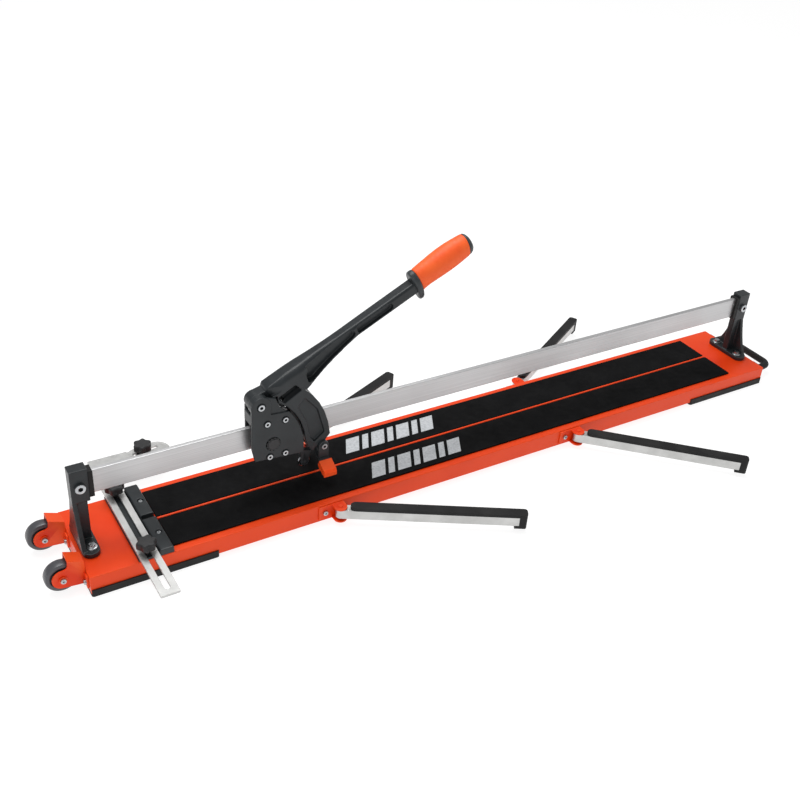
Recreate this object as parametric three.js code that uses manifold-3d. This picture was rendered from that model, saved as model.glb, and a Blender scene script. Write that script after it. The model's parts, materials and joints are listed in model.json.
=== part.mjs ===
// Manual push tile cutter: a folded steel table with a breaking bar down its middle, a flat
// guide rail held between two cast posts, a ball-bearing carriage with the scoring and breaking
// lever, an adjustable measuring fence, four swing-out support arms, transport wheels and a
// carry handle. Millimetres, +Z up. The origin is the middle of the underside of the rubber
// foot at the wheel end; +X runs along the cut towards the carry handle, and the cutting line
// lies in the plane Y = 0.
import * as THREE from 'three';
import * as BufferGeometryUtils from 'three/addons/utils/BufferGeometryUtils.js';
import Module from 'manifold-3d';

const wasm = await Module();
wasm.setup();

// ---------------------------------------------------------------- driving dimensions
const gap = 0.3; // clearance between pieces that touch
const running = 0.4; // clearance of a piece that turns or slides in another

// table
const tableLength = 1400;
const tableWidth = 168;
const tableTop = 36; // height of the table's top face above the floor
const skirtHeight = 32;
const sheet = 3; // thickness of the folded sheet
const footLength = 200;
const footWall = 2;
const footLip = 12.5; // how far the rubber foot comes up the skirt
const tableStart = -footLength / 2;
const tableEnd = tableStart + tableLength;
const halfWidth = tableWidth / 2;

// posts and guide rail
const postWidth = 27; // along X
const postHalfDepth = 10; // along Y, at the rail
const postTop = 174;
const flangeHalfLength = 45;
const flangeThickness = 8;
const postWall = 7;
const postWeb = 6.5; // half the web's thickness
const postPocket = 21; // how far the rail goes into a post
const wheelPostX = tableStart + 18.5;
const handlePostX = tableEnd - 21.5;
const railBottom = 124;
const railHeight = 41;
const railThickness = 8;
const railTop = railBottom + railHeight;
const railBoltRadius = 4;
const railBoltZ = railBottom + 20;
const bumperThickness = 7;

// transport wheels
const casterRadius = 25;
const casterWidth = 17;
const casterSpread = 50; // from the middle plane to each wheel
const casterReach = 33; // from the table's end to the wheel's axle
const casterHeight = 29; // axle above the floor
const casterPlate = 2.5;
const casterCheek = 16; // radius of a bracket's cheek round the axle
const casterAxleRadius = 4;

// carry handle
const handleRadius = 7;
const handleHalfSpan = 62;
const handleReach = 44;
const handleHeight = 20;

// fence and measuring bar
const fenceStart = -26;
const fenceEnd = 29;
const fenceStep = 7; // X where the ledge meets the raised ruler part
const ledgeHeight = 5;
const fenceHeight = 12;
const slotBarWidth = 30;
const slotBarThickness = 4;
const slotBarLength = 350;
const slotBarStart = -175;
const slotWidth = 9;
const slotMargin = 11;
const slotBarX = -10; // middle of the measuring bar
const fenceKnobSpread = 75; // from the middle plane to each clamp knob
const crossArmLength = 67;
const crossArmThickness = 3;
const crossArmWidth = 32;
const anglePlateLength = 88;
const anglePlateWidth = 46;
const anglePlateAngle = 10; // degrees from +X
const knobRadius = 16;
const knobHeight = 13;
const knobStemRadius = 5.5;

// breaking bar and mats
const barTopWidth = 4;
const barProud = 3.6; // how far the bar stands above the table
const barWebDepth = 26;
const matWidth = 67.6;
const matThickness = 3;
const matInset = 13; // from the table's long edge to the mat
const matStart = fenceEnd + 3;
const matEnd = tableEnd - 88;

// support arms
const armLength = 306;
const armBarWidth = 16;
const armBarHeight = 17;
const armBarTop = 31;
const armPadHeight = 6;
const armPivotOut = 12; // from the skirt to the arm's pivot
const armPinRadius = 3.5;
const armCapLength = 13;
const armCapDrop = 5;
const armCapLip = 8; // how far the cap hooks back under the bar
const armCapCorner = 6;
const leftArmX = 306;
const rightArmX = 801;
const armAngles = { near_left: -30, near_right: -43, far_left: 24, far_right: 30 };

// carriage
const carriageX = 200; // X of the lever's pivot at rest
const plateOuter = 24; // outer face of a carriage plate from the middle plane
const plateThickness = 5;
const pivotZ = 212;
const pivotRadius = 4;
const upperRollerRadius = 13;
const lowerRollerRadius = 9;
const rollerWidth = 14;
const rollerPinRadius = 3;
const boltHead = 4.7; // radius of the socket heads on the carriage
const boltRecess = 6.4;
const upperRollerX = [10, 41];
const lowerRollerX = [14, 41];
const rollerGap = 0.3; // roller to rail
const bossRadius = 17;
const adjusterX = 20;
const adjusterZ = railBottom + 14;
const adjusterRadius = 12;

// lever
const leverAngle = 26.7; // degrees above horizontal
const leverOffset = 3.5; // from the pivot to the beam's centre line
const leverWidth = 22;
const leverHeight = 19;
const hubRadius = 15;
const hubHalfWidth = 10;
const springRadius = 7.6;
const springWire = 0.8;
const springTurns = 2.5;
const springSeat = 6.5; // depth of the spring's recess in the hub
const forkInner = 8; // inner face of a fork arm from the middle plane
const forkOuter = 17.5;
const gripStart = 314;
const gripLength = 112; // from the guard to the end of the cap
const gripRadius = 22;
const guardRadius = 22;
const gripOffset = 10; // the grip's axis, above the beam's centre line
const spigotRadius = 8;
const footPivot = { x: 112, z: -108 }; // from the lever's pivot
const scorePivot = { x: 86, z: -143 };
const scoreRadius = 11;
const scoreThickness = 2;
const footPinRadius = 3.5;
const beamPockets = [[92, 184], [194, 262]]; // hollows in the sides of the beam
const padTilt = 27; // degrees that each breaker pad slopes down outwards

// ---------------------------------------------------------------- finishes
function finish(color, roughness, metalness) {
  return new THREE.MeshStandardMaterial({ color, roughness, metalness });
}
const finishes = {
  orangePaint: () => finish(0xee4b16, 0.45, 0.1),
  darkCasting: () => finish(0x3b4042, 0.55, 0.3),
  brightSteel: () => finish(0xb4b4b6, 0.35, 0.9),
  aluminium: () => finish(0xc6c6c2, 0.4, 0.8),
  zinc: () => finish(0xc9ccd0, 0.3, 0.9),
  blackRubber: () => finish(0x17181a, 0.85, 0),
  blackPlastic: () => finish(0x232426, 0.6, 0),
  greyTyre: () => finish(0x3c3d44, 0.7, 0),
  orangeGrip: () => finish(0xf2611f, 0.6, 0),
  carbide: () => finish(0x8d9094, 0.3, 1),
};

// ---------------------------------------------------------------- solids
function solid(geometry) {
  const bare = geometry.clone();
  bare.deleteAttribute('normal');
  bare.deleteAttribute('uv');
  const merged = BufferGeometryUtils.mergeVertices(bare, 1e-4);
  return new wasm.Manifold(new wasm.Mesh({
    numProp: 3,
    vertProperties: new Float32Array(merged.attributes.position.array),
    triVerts: new Uint32Array(merged.index.array),
  }));
}

function toGeometry(manifold) {
  const mesh = manifold.getMesh();
  const geometry = new THREE.BufferGeometry();
  geometry.setAttribute('position', new THREE.BufferAttribute(new Float32Array(mesh.vertProperties), 3));
  geometry.setIndex(new THREE.BufferAttribute(new Uint32Array(mesh.triVerts), 1));
  geometry.computeVertexNormals();
  return geometry;
}

function join(first, ...others) {
  return others.reduce((whole, piece) => whole.add(piece), first);
}

function cut(first, ...others) {
  return others.reduce((whole, piece) => whole.subtract(piece), first);
}

// a named mesh in a group
function place(group, name, material, body, position = [0, 0, 0]) {
  const mesh = new THREE.Mesh(toGeometry(body), material);
  mesh.name = name;
  mesh.position.set(...position);
  group.add(mesh);
  return mesh;
}

function block(x0, x1, y0, y1, z0, z1) {
  const geometry = new THREE.BoxGeometry(x1 - x0, y1 - y0, z1 - z0);
  geometry.translate((x0 + x1) / 2, (y0 + y1) / 2, (z0 + z1) / 2);
  return solid(geometry);
}

// round bars along each axis, from one end to the other
function rodY(x, z, radius, y0, y1, sides = 16) {
  const geometry = new THREE.CylinderGeometry(radius, radius, y1 - y0, sides);
  geometry.translate(x, (y0 + y1) / 2, z);
  return solid(geometry);
}

function rodZ(x, y, radius, z0, z1, sides = 16) {
  const geometry = new THREE.CylinderGeometry(radius, radius, z1 - z0, sides);
  geometry.rotateX(Math.PI / 2);
  geometry.translate(x, y, (z0 + z1) / 2);
  return solid(geometry);
}

function rodX(y, z, radius, x0, x1, sides = 16) {
  const geometry = new THREE.CylinderGeometry(radius, radius, x1 - x0, sides);
  geometry.rotateZ(Math.PI / 2);
  geometry.translate((x0 + x1) / 2, y, z);
  return solid(geometry);
}

function outline(points) {
  return new THREE.Shape(points.map(([a, b]) => new THREE.Vector2(a, b)));
}

// an outline in X and Z, as thick as y0 to y1
function extrudeY(shape, y0, y1, curveSegments = 5) {
  const geometry = new THREE.ExtrudeGeometry(shape, { depth: y1 - y0, bevelEnabled: false, curveSegments });
  geometry.rotateX(Math.PI / 2);
  geometry.translate(0, y1, 0);
  return solid(geometry);
}

// an outline in X and Y, as thick as z0 to z1
function extrudeZ(shape, z0, z1, curveSegments = 5) {
  const geometry = new THREE.ExtrudeGeometry(shape, { depth: z1 - z0, bevelEnabled: false, curveSegments });
  geometry.translate(0, 0, z0);
  return solid(geometry);
}

// an outline in Y and Z, as long as x0 to x1
function extrudeX(shape, x0, x1, curveSegments = 5) {
  const geometry = new THREE.ExtrudeGeometry(shape, { depth: x1 - x0, bevelEnabled: false, curveSegments });
  const turn = new THREE.Matrix4().makeBasis(
    new THREE.Vector3(0, 1, 0),
    new THREE.Vector3(0, 0, 1),
    new THREE.Vector3(1, 0, 0),
  );
  geometry.applyMatrix4(turn);
  geometry.translate(x0, 0, 0);
  return solid(geometry);
}

// a rectangle with round corners, centred on a point
function roundedRectangle(a, b, width, height, radius) {
  const shape = new THREE.Shape();
  const [left, right] = [a - width / 2, a + width / 2];
  const [low, high] = [b - height / 2, b + height / 2];
  shape.moveTo(left + radius, low);
  shape.lineTo(right - radius, low);
  shape.absarc(right - radius, low + radius, radius, -Math.PI / 2, 0);
  shape.lineTo(right, high - radius);
  shape.absarc(right - radius, high - radius, radius, 0, Math.PI / 2);
  shape.lineTo(left + radius, high);
  shape.absarc(left + radius, high - radius, radius, Math.PI / 2, Math.PI);
  shape.lineTo(left, low + radius);
  shape.absarc(left + radius, low + radius, radius, Math.PI, Math.PI * 1.5);
  return shape;
}

function degrees(angle) {
  return THREE.MathUtils.degToRad(angle);
}

// ---------------------------------------------------------------- table
function tableTray() {
  const skirtBottom = tableTop - skirtHeight;
  const outer = block(tableStart, tableEnd, -halfWidth, halfWidth, skirtBottom, tableTop);
  const hollow = block(
    tableStart + sheet, tableEnd - sheet,
    -halfWidth + sheet, halfWidth - sheet,
    skirtBottom - 1, tableTop - sheet,
  );
  const slotHalf = barTopWidth / 2 + gap;
  const slot = block(matStart - gap, matEnd + gap, -slotHalf, slotHalf, tableTop - sheet - 1, tableTop + 1);
  return cut(outer, hollow, slot);
}

// a T-section bar: its crest stands through the table's slot, its flanges bear on the
// underside of the table
function breakingBar() {
  const crest = barTopWidth / 2;
  const under = tableTop - sheet - gap;
  const flange = 16;
  const shape = outline([
    [-crest, under - barWebDepth],
    [crest, under - barWebDepth],
    [crest, under - 4],
    [flange, under - 4],
    [flange, under],
    [crest, under],
    [crest, tableTop + barProud - 1],
    [crest - 1, tableTop + barProud],
    [-crest + 1, tableTop + barProud],
    [-crest, tableTop + barProud - 1],
    [-crest, under],
    [-flange, under],
    [-flange, under - 4],
    [-crest, under - 4],
  ]);
  return extrudeX(shape, matStart, matEnd);
}

function mat(side) {
  const middle = side * (halfWidth - matInset - matWidth / 2);
  const shape = roundedRectangle((matStart + matEnd) / 2, middle, matEnd - matStart, matWidth, 1);
  return extrudeZ(shape, tableTop + gap, tableTop + gap + matThickness, 2);
}

// a moulded rubber tray that wraps the table's lower edges at one end
function footShoe(middleX) {
  const half = footLength / 2;
  const outerHalf = halfWidth + gap + footWall;
  const shape = roundedRectangle(middleX, 0, footLength, 2 * outerHalf, 4);
  const body = extrudeZ(shape, 0, footLip, 4);
  const cavity = block(
    middleX - half - 1, middleX + half + 1,
    -halfWidth - gap, halfWidth + gap,
    tableTop - skirtHeight - gap, footLip + 1,
  );
  return cut(body, cavity);
}

// ---------------------------------------------------------------- posts and rail
// outline of a post's wall across the table: flared at the foot, square at the head
function postOutline() {
  const low = tableTop + gap + flangeThickness - 1;
  const toe = flangeHalfLength - 9;
  const knee = railBottom - 11;
  const shape = new THREE.Shape();
  shape.moveTo(-toe, low);
  shape.lineTo(toe, low);
  shape.quadraticCurveTo(postHalfDepth + 12, low + 20, postHalfDepth, knee);
  shape.lineTo(postHalfDepth, postTop);
  shape.lineTo(-postHalfDepth, postTop);
  shape.lineTo(-postHalfDepth, knee);
  shape.quadraticCurveTo(-postHalfDepth - 12, low + 20, -toe, low);
  return shape;
}

// a cast post, built about its own middle: a flared wall at its outer end, a web behind it, a
// solid head with the rail's pocket and a flange to bolt down; inward is +1 or -1, to the rail
function post(inward) {
  const base = tableTop + gap;
  const half = postWidth / 2;
  const towards = (deep, end) => (inward > 0 ? [deep, end] : [-end, -deep]);
  const wall = extrudeX(postOutline(), ...towards(-half, postWall - half));
  const web = block(...towards(-half + 1, half - 4), -postWeb, postWeb, base + 1, postTop - 1);
  const head = block(...towards(-half + 1, half), -postHalfDepth, postHalfDepth, railBottom - 8, postTop);
  const plan = roundedRectangle(0, 0, postWidth, 2 * flangeHalfLength, half - 0.5);
  const flange = extrudeZ(plan, base, base + flangeThickness, 4);
  const side = railThickness / 2 + gap;
  const pocket = block(
    ...towards(half - postPocket, half + 1),
    -side, side, railBottom - gap, railTop + gap,
  );
  const boltHole = rodY(0, railBoltZ, railBoltRadius + gap, -60, 60);
  return cut(join(wall, web, head, flange), pocket, boltHole);
}

function railBolt() {
  const face = postHalfDepth + gap;
  return join(
    rodY(0, railBoltZ, railBoltRadius, -face - 1, face + 1),
    rodY(0, railBoltZ, 8, -face - 5, -face, 20),
    rodY(0, railBoltZ, 7, face, face + 6, 6),
  );
}

function guideRail() {
  const start = wheelPostX + postWidth / 2 - postPocket + gap;
  const end = handlePostX - postWidth / 2 + postPocket - gap;
  const half = railThickness / 2;
  const edge = 0.8;
  const section = outline([
    [-half + edge, railBottom],
    [half - edge, railBottom],
    [half, railBottom + edge],
    [half, railTop - edge],
    [half - edge, railTop],
    [-half + edge, railTop],
    [-half, railTop - edge],
    [-half, railBottom + edge],
  ]);
  const holes = [wheelPostX, handlePostX].map((x) => rodY(x, railBoltZ, railBoltRadius + gap, -20, 20));
  return cut(extrudeX(section, start, end), ...holes);
}

function bumper(x0) {
  const middle = railBottom + railHeight / 2;
  const shape = roundedRectangle(0, middle, 2 * postHalfDepth - 1, railHeight + 6, 2);
  const body = extrudeX(shape, x0, x0 + bumperThickness, 3);
  const half = railThickness / 2 + gap;
  return cut(body, block(x0 - 1, x0 + bumperThickness + 1, -half, half, railBottom - gap, railTop + gap));
}

// ---------------------------------------------------------------- transport wheels
// a folded bracket with a riveted axle, built about the wheel's axle
function casterBracket() {
  const halfInside = casterWidth / 2 + 1.2;
  const halfOutside = halfInside + casterPlate;
  const wallX = casterReach - gap; // the table's end wall
  const cheek = new THREE.Shape();
  cheek.moveTo(wallX, -19);
  cheek.lineTo(wallX, 22);
  cheek.lineTo(9, 31);
  cheek.lineTo(8, 20);
  cheek.quadraticCurveTo(6, casterCheek, 0, casterCheek);
  cheek.absarc(0, 0, casterCheek, Math.PI / 2, Math.PI * 1.5, false);
  const sideNear = extrudeY(cheek, -halfOutside, -halfInside);
  const sideFar = extrudeY(cheek, halfInside, halfOutside);
  const roof = extrudeY(outline([
    [wallX, 22 - casterPlate], [wallX, 22], [9, 31], [8.6, 31 - casterPlate],
  ]), -halfOutside, halfOutside);
  const backPlate = block(wallX - casterPlate, wallX, -halfOutside - 13, halfOutside + 13, -19, 3);
  const backRise = block(wallX - casterPlate, wallX, -halfOutside, halfOutside, -19, 21);
  const axle = rodY(0, 0, casterAxleRadius, -halfOutside - 0.5, halfOutside + 0.5);
  const heads = [-1, 1].map((side) => {
    const inner = side * halfOutside;
    const outer = side * (halfOutside + 2);
    return rodY(0, 0, 6.5, Math.min(inner, outer), Math.max(inner, outer), 12);
  });
  return join(sideNear, sideFar, roof, backPlate, backRise, axle, ...heads);
}

function casterWheel() {
  const bore = casterAxleRadius + running;
  const half = casterWidth / 2;
  const profile = [
    [bore, -half], [12, -half], [13, -half + 2], [casterRadius - 6, -half + 1],
    [casterRadius - 2.5, -half + 2.5], [casterRadius - 0.6, -half + 5], [casterRadius, 0],
    [casterRadius - 0.6, half - 5], [casterRadius - 2.5, half - 2.5], [casterRadius - 6, half - 1],
    [13, half - 2], [12, half], [bore, half], [bore, -half],
  ].map(([r, y]) => new THREE.Vector2(r, y));
  return solid(new THREE.LatheGeometry(profile, 24));
}

// ---------------------------------------------------------------- carry handle
function carryHandle() {
  const root = tableEnd + gap;
  const bar = root + handleReach;
  const bend = 18;
  const path = new THREE.CurvePath();
  const corner = (from, control, to) => new THREE.QuadraticBezierCurve3(from, control, to);
  const at = (x, y) => new THREE.Vector3(x, y, handleHeight);
  path.add(new THREE.LineCurve3(at(root, -handleHalfSpan), at(bar - bend, -handleHalfSpan)));
  path.add(corner(at(bar - bend, -handleHalfSpan), at(bar, -handleHalfSpan), at(bar, bend - handleHalfSpan)));
  path.add(new THREE.LineCurve3(at(bar, bend - handleHalfSpan), at(bar, handleHalfSpan - bend)));
  path.add(corner(at(bar, handleHalfSpan - bend), at(bar, handleHalfSpan), at(bar - bend, handleHalfSpan)));
  path.add(new THREE.LineCurve3(at(bar - bend, handleHalfSpan), at(root, handleHalfSpan)));
  const ring = new THREE.Shape();
  ring.absarc(0, 0, handleRadius, 0, Math.PI * 2);
  const tube = new THREE.ExtrudeGeometry(ring, { steps: 36, extrudePath: path, curveSegments: 5 });
  const plates = [-1, 1].map((side) => {
    const shape = roundedRectangle(side * handleHalfSpan, handleHeight, 22, 28, 4);
    return extrudeX(shape, root, root + 3, 3);
  });
  return join(solid(tube), ...plates);
}

// ---------------------------------------------------------------- fence
function fenceBody() {
  const base = tableTop + gap;
  const shape = outline([
    [fenceStart, base],
    [fenceEnd, base],
    [fenceEnd, tableTop + fenceHeight - 2],
    [fenceEnd - 1.5, tableTop + fenceHeight],
    [fenceStep + 1.5, tableTop + fenceHeight],
    [fenceStep, tableTop + fenceHeight - 1.5],
    [fenceStep, tableTop + ledgeHeight],
    [fenceStart, tableTop + ledgeHeight],
  ]);
  const body = extrudeY(shape, -halfWidth, halfWidth);
  const ruler = block(fenceStep + 0.5, fenceEnd + 1, -5, 5, tableTop + ledgeHeight - 1.5, 80);
  const seats = [-1, 1].map((side) => rodZ(
    (fenceStep + fenceEnd) / 2 + 2, side * 42, 5, tableTop + fenceHeight - 4, tableTop + 40, 12,
  ));
  const knobHoles = [-1, 1].map((side) => rodZ(
    slotBarX, side * fenceKnobSpread, 3 + running, tableTop + 1.5, tableTop + 40, 16,
  ));
  return cut(body, ruler, ...seats, ...knobHoles);
}

function measuringBar() {
  const low = tableTop + ledgeHeight + gap;
  const high = low + slotBarThickness;
  const middle = slotBarStart + slotBarLength / 2;
  const bar = extrudeZ(roundedRectangle(slotBarX, middle, slotBarWidth, slotBarLength, 2), low, high, 3);
  const slot = roundedRectangle(slotBarX, middle, slotWidth, slotBarLength - 2 * slotMargin, slotWidth / 2 - 0.05);
  return cut(bar, extrudeZ(slot, low - 1, high + 1, 5));
}

// a plate that lies across the far end of the measuring bar, with a rivet down into the bar's
// end and one that the angle plate swings on
function crossArm() {
  const low = tableTop + ledgeHeight + 2 * gap + slotBarThickness;
  const high = low + crossArmThickness;
  const left = slotBarX - slotBarWidth / 2;
  const far = slotBarStart + slotBarLength;
  const plan = roundedRectangle(left + crossArmLength / 2, far - crossArmWidth / 2, crossArmLength, crossArmWidth, 3);
  const rivet = rodZ(anglePivot().x, anglePivot().y, 4, low - slotBarThickness - 2, high + 1.5, 20);
  const rivetFoot = rodZ(anglePivot().x, anglePivot().y, 7, low - slotBarThickness - 2, low - slotBarThickness - gap, 20);
  return join(extrudeZ(plan, low, high, 3), rivet, rivetFoot);
}

function anglePivot() {
  const left = slotBarX - slotBarWidth / 2;
  return { x: left + crossArmLength - 16, y: slotBarStart + slotBarLength - 22 };
}

// the swinging plate, built about its pivot, with a slot along its free end
function anglePlate() {
  const low = tableTop + ledgeHeight + gap;
  const high = low + slotBarThickness - gap;
  const shape = new THREE.Shape();
  const half = anglePlateWidth / 2;
  const reach = anglePlateLength;
  shape.moveTo(0, -13);
  shape.lineTo(30, -half);
  shape.lineTo(reach - half, -half);
  shape.absarc(reach - half, 0, half, -Math.PI / 2, Math.PI / 2);
  shape.lineTo(30, half);
  shape.lineTo(0, 13);
  shape.absarc(0, 0, 13, Math.PI / 2, Math.PI * 1.5);
  const slot = roundedRectangle(reach - 40, 8, 46, 7, 3.4);
  return cut(
    extrudeZ(shape, low, high),
    extrudeZ(slot, low - 1, high + 1, 5),
    rodZ(0, 0, 4 + running, low - 1, high + 1, 20),
  );
}

// six-lobed clamp knob with its stem and screw, built about its own axis; the screw starts
// at z = 0, the underside of the stem
function starKnob(screwDrop, stemHeight) {
  const shape = new THREE.Shape();
  const lobes = 6;
  const steps = 36;
  for (let i = 0; i < steps; i += 1) {
    const angle = (i / steps) * Math.PI * 2;
    const r = knobRadius - 1.7 + 1.7 * Math.cos(lobes * angle);
    const [x, y] = [r * Math.cos(angle), r * Math.sin(angle)];
    if (i === 0) {
      shape.moveTo(x, y);
    } else {
      shape.lineTo(x, y);
    }
  }
  const head = new THREE.ExtrudeGeometry(shape, {
    depth: knobHeight - 4, bevelEnabled: true, bevelThickness: 2, bevelSize: 2, bevelOffset: -2, bevelSegments: 1,
  });
  head.translate(0, 0, stemHeight + 2);
  return join(
    solid(head),
    rodZ(0, 0, knobStemRadius, 0, stemHeight + 1, 20),
    rodZ(0, 0, 3, -screwDrop, 1, 16),
  );
}

// the square block under the angle plate that the knob's screw draws up
function stopBlock() {
  const high = -slotBarThickness - 0.3;
  const low = -12;
  return cut(
    extrudeZ(roundedRectangle(0, 0, 20, 20, 2), low, high, 3),
    rodZ(0, 0, 3 + running, low - 1, high + 1, 16),
  );
}

// ---------------------------------------------------------------- support arms
// Each arm is built about its pivot and points along +X; side is -1 on the near skirt.
function armBracket(side) {
  const faceY = -side * (armPivotOut - gap); // the skirt's face
  const low = 8;
  const high = tableTop - 2;
  const earHalf = 11;
  const earThickness = 2.5;
  const span = (y0, y1) => [Math.min(y0, y1), Math.max(y0, y1)];
  const [plateLow, plateHigh] = span(faceY, faceY - Math.sign(faceY) * earThickness);
  const back = block(-34, earHalf, plateLow, plateHigh, low, high);
  const ear = (z0, z1) => {
    const disc = rodZ(0, 0, earHalf, z0, z1, 24);
    const [y0, y1] = span(0, faceY);
    return join(disc, block(-earHalf, earHalf, y0, y1, z0, z1));
  };
  const pin = rodZ(0, 0, armPinRadius, low + 0.5, high + 1.5, 20);
  return join(back, ear(low, low + earThickness), ear(high - earThickness, high), pin);
}

function armBar() {
  const half = armBarWidth / 2;
  const low = armBarTop - armBarHeight;
  const shape = new THREE.Shape();
  shape.moveTo(armLength - armCapLength, -half);
  shape.lineTo(armLength - armCapLength, half);
  shape.lineTo(0, half);
  shape.absarc(0, 0, half, Math.PI / 2, Math.PI * 1.5);
  const bar = extrudeZ(shape, low, armBarTop);
  const bore = rodZ(0, 0, armPinRadius + running, low - 1, armBarTop + 1, 20);
  const groove = block(20, armLength + 1, -half + 2.5, half - 2.5, armBarTop - 4, armBarTop + 1);
  return cut(bar, bore, groove);
}

// rubber strip along the arm's top, ending in a cap that hooks down over the bar's end
function armPad() {
  const half = armBarWidth / 2 + 1;
  const low = armBarTop + gap;
  const start = 16;
  const shape = new THREE.Shape();
  shape.moveTo(armLength, -half + armCapCorner);
  shape.quadraticCurveTo(armLength, -half, armLength - armCapCorner, -half);
  shape.lineTo(start + half, -half);
  shape.absarc(start + half, 0, half, Math.PI * 1.5, Math.PI / 2, true);
  shape.lineTo(armLength - armCapCorner, half);
  shape.quadraticCurveTo(armLength, half, armLength, half - armCapCorner);
  const strip = extrudeZ(shape, low, low + armPadHeight, 4);
  const capLow = armBarTop - armBarHeight - armCapDrop;
  const capX = armLength - armCapLength + gap;
  const lipX = capX - armCapLip;
  const lipTop = armBarTop - armBarHeight - gap;
  const wall = block(capX, armLength, -half + 0.5, half - 0.5, capLow, low + 1);
  const lip = block(lipX, armLength, -half + 0.5, half - 0.5, capLow, lipTop);
  const cap = join(wall, lip).intersect(extrudeZ(shape, capLow - 1, low + 2, 4));
  const tongue = block(20 + gap, armLength - armCapLength, -5.2, 5.2, armBarTop - 3.5, low + 1);
  return join(strip, cap, tongue);
}

// ---------------------------------------------------------------- carriage
function rollerPlaces() {
  return {
    upperZ: railTop + rollerGap + upperRollerRadius,
    lowerZ: railBottom - rollerGap - lowerRollerRadius,
  };
}

// outline of a carriage plate; rear is where its rear edge stands. The front edge follows
// the inner curve of the lever's fork.
function plateOutline(rear, top) {
  const shape = new THREE.Shape();
  const low = pivotZ - 102;
  shape.moveTo(rear + 5, low + 2);
  shape.lineTo(64, low - 4);
  shape.lineTo(74, low - 2);
  shape.lineTo(74, pivotZ - 87);
  shape.quadraticCurveTo(72, pivotZ - 52, 47, pivotZ - 20);
  shape.lineTo(top, pivotZ - 18);
  shape.lineTo(rear, pivotZ - 18);
  shape.lineTo(rear, low + 24);
  return shape;
}

// the near plate rises in a boss that carries the head of the pivot bolt
function carriagePlateNear() {
  const inner = plateOuter - plateThickness;
  const boss = join(
    rodY(0, pivotZ, bossRadius, -plateOuter, -hubHalfWidth - gap, 20),
    block(-bossRadius + 1, bossRadius - 1, -plateOuter, -inner, pivotZ - 40, pivotZ),
  );
  return join(extrudeY(plateOutline(-16, 20), -plateOuter, -inner), boss);
}

// the far plate steps in above the rollers, to a smaller boss close beside the hub, and a
// cast spacer on it reaches across behind the rollers to the near plate
function carriagePlateFar() {
  const inner = plateOuter - plateThickness;
  const lug = hubHalfWidth + gap;
  return join(
    extrudeY(plateOutline(-8, 20), inner, plateOuter),
    block(-7, 12, lug, plateOuter, pivotZ - 20, pivotZ - 15.5),
    block(-7, 7, lug, lug + plateThickness, pivotZ - 18, pivotZ),
    rodY(0, pivotZ, 10, lug, lug + plateThickness),
    extrudeY(roundedRectangle(-7, railTop + 13, 5.6, 20, 2), -inner + gap, inner + 1, 3),
  );
}

function carriagePlate(side) {
  const { upperZ, lowerZ } = rollerPlaces();
  const seats = [
    ...upperRollerX.map((x) => [x, upperZ]),
    ...lowerRollerX.map((x) => [x, lowerZ]),
  ];
  const holes = seats.map(([x, z]) => rodY(x, z, rollerPinRadius + gap, -60, 60, 12));
  const recesses = seats.map(([x, z]) => (side < 0
    ? rodY(x, z, boltRecess, -plateOuter - 1, -plateOuter + 1.5)
    : rodY(x, z, boltRecess, plateOuter - 1.5, plateOuter + 1)));
  const bore = rodY(0, pivotZ, pivotRadius + gap, -60, 60);
  const blank = side < 0 ? carriagePlateNear() : carriagePlateFar();
  if (side > 0) {
    return cut(blank, ...holes, ...recesses, bore);
  }
  const adjuster = rodY(adjusterX, adjusterZ, adjusterRadius + gap, -plateOuter - 1, -plateOuter + 2.5, 20);
  const headRecess = rodY(0, pivotZ, 7.4, -plateOuter - 1, -plateOuter + 1.5);
  return cut(blank, ...holes, ...recesses, bore, adjuster, headRecess);
}

// guide saddle that rides over the rail in front of the rollers, between the fork's arms
function railSaddle() {
  const half = forkInner - running;
  const wall = railThickness / 2 + running;
  const shape = outline([
    [56, railBottom - 12], [79, railBottom - 12], [79, railBottom + 10],
    [72, railTop - 4], [62, railTop + 26], [56, railTop + 26],
  ]);
  const reach = plateOuter - plateThickness - gap; // to the plates that hold it
  const tie = block(56.5, 62, -reach, reach, railBottom - 11, railBottom - 5);
  const channel = block(50, 90, -wall, wall, railBottom - 20, railTop + running);
  return join(cut(extrudeY(shape, -half, half), channel), tie);
}

function roller(radius) {
  const bore = rollerPinRadius + running;
  const half = rollerWidth / 2;
  const profile = [
    [bore, -half], [radius - 1.5, -half], [radius, -half + 1.5], [radius, half - 1.5],
    [radius - 1.5, half], [bore, half], [bore, -half],
  ].map(([r, y]) => new THREE.Vector2(r, y));
  return solid(new THREE.LatheGeometry(profile, 20));
}

function rollerPin() {
  return join(
    rodY(0, 0, rollerPinRadius, -plateOuter + 1, plateOuter - 1, 12),
    cut(
      rodY(0, 0, boltHead, -plateOuter - 1.8, -plateOuter + 1.5 - gap),
      rodY(0, 0, 2.4, -plateOuter - 3, -plateOuter - 0.3, 6),
    ),
    rodY(0, 0, 5.2, plateOuter - 1.5 + gap, plateOuter + 3, 6),
  );
}

function adjusterCap() {
  const face = -plateOuter + 2.5 - gap;
  return join(
    rodY(adjusterX, adjusterZ, adjusterRadius, face - 3.5, face, 20),
    rodY(adjusterX, adjusterZ, adjusterRadius - 2.5, face - 4.6, face - 3, 20),
  );
}

function pivotBolt() {
  const end = hubHalfWidth + gap + plateThickness;
  return join(
    rodY(0, 0, pivotRadius, -plateOuter - 1, end + 1),
    cut(
      rodY(0, 0, 5.6, -plateOuter - 1.8, -plateOuter + 1.5 - gap),
      rodY(0, 0, 3, -plateOuter - 3, -plateOuter - 0.3, 6),
    ),
    rodY(0, 0, 6.5, end + gap, end + 4.5, 6),
  );
}

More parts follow.
